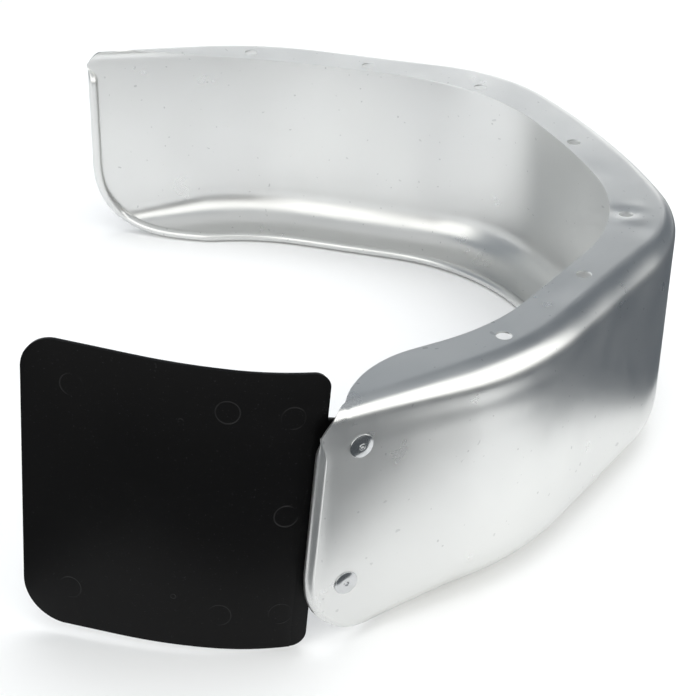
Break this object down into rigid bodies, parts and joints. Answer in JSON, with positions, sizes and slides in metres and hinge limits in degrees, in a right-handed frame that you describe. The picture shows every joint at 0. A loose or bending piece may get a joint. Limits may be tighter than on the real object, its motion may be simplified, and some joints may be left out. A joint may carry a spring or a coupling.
{
  "type": "trailer mudguard",
  "caption": "Arched galvanised mudguard for a small trailer wheel, with a fixing flange, a rolled outer rim and a black mud flap riveted to its rear leg.",
  "frame": {"origin": "middle of the part's footprint, on the surface it lies on with its outboard side down", "axes": "+Z inboard, square to the fixing flange; +X from the open side of the arch to its crown; Y along the arch's chord, with the mud flap at the -Y end"},
  "size_m": [0.5338, 0.6484, 0.2141],
  "materials": {
    "galvanised_sheet": "galvanised sheet, satin, with fine grain and light handling marks",
    "black_plastic": "moulded plastic, semi-matt",
    "rivet_steel": "zinc plated",
    "mandrel_steel": "snapped steel mandrel"
  },
  "bodies": {
    "root": {"guard_shell": "galvanised_sheet", "mud_flap": "black_plastic", "rivet_bodies": "rivet_steel", "rivet_mandrels": "mandrel_steel"}
  },
  "joints": []
}
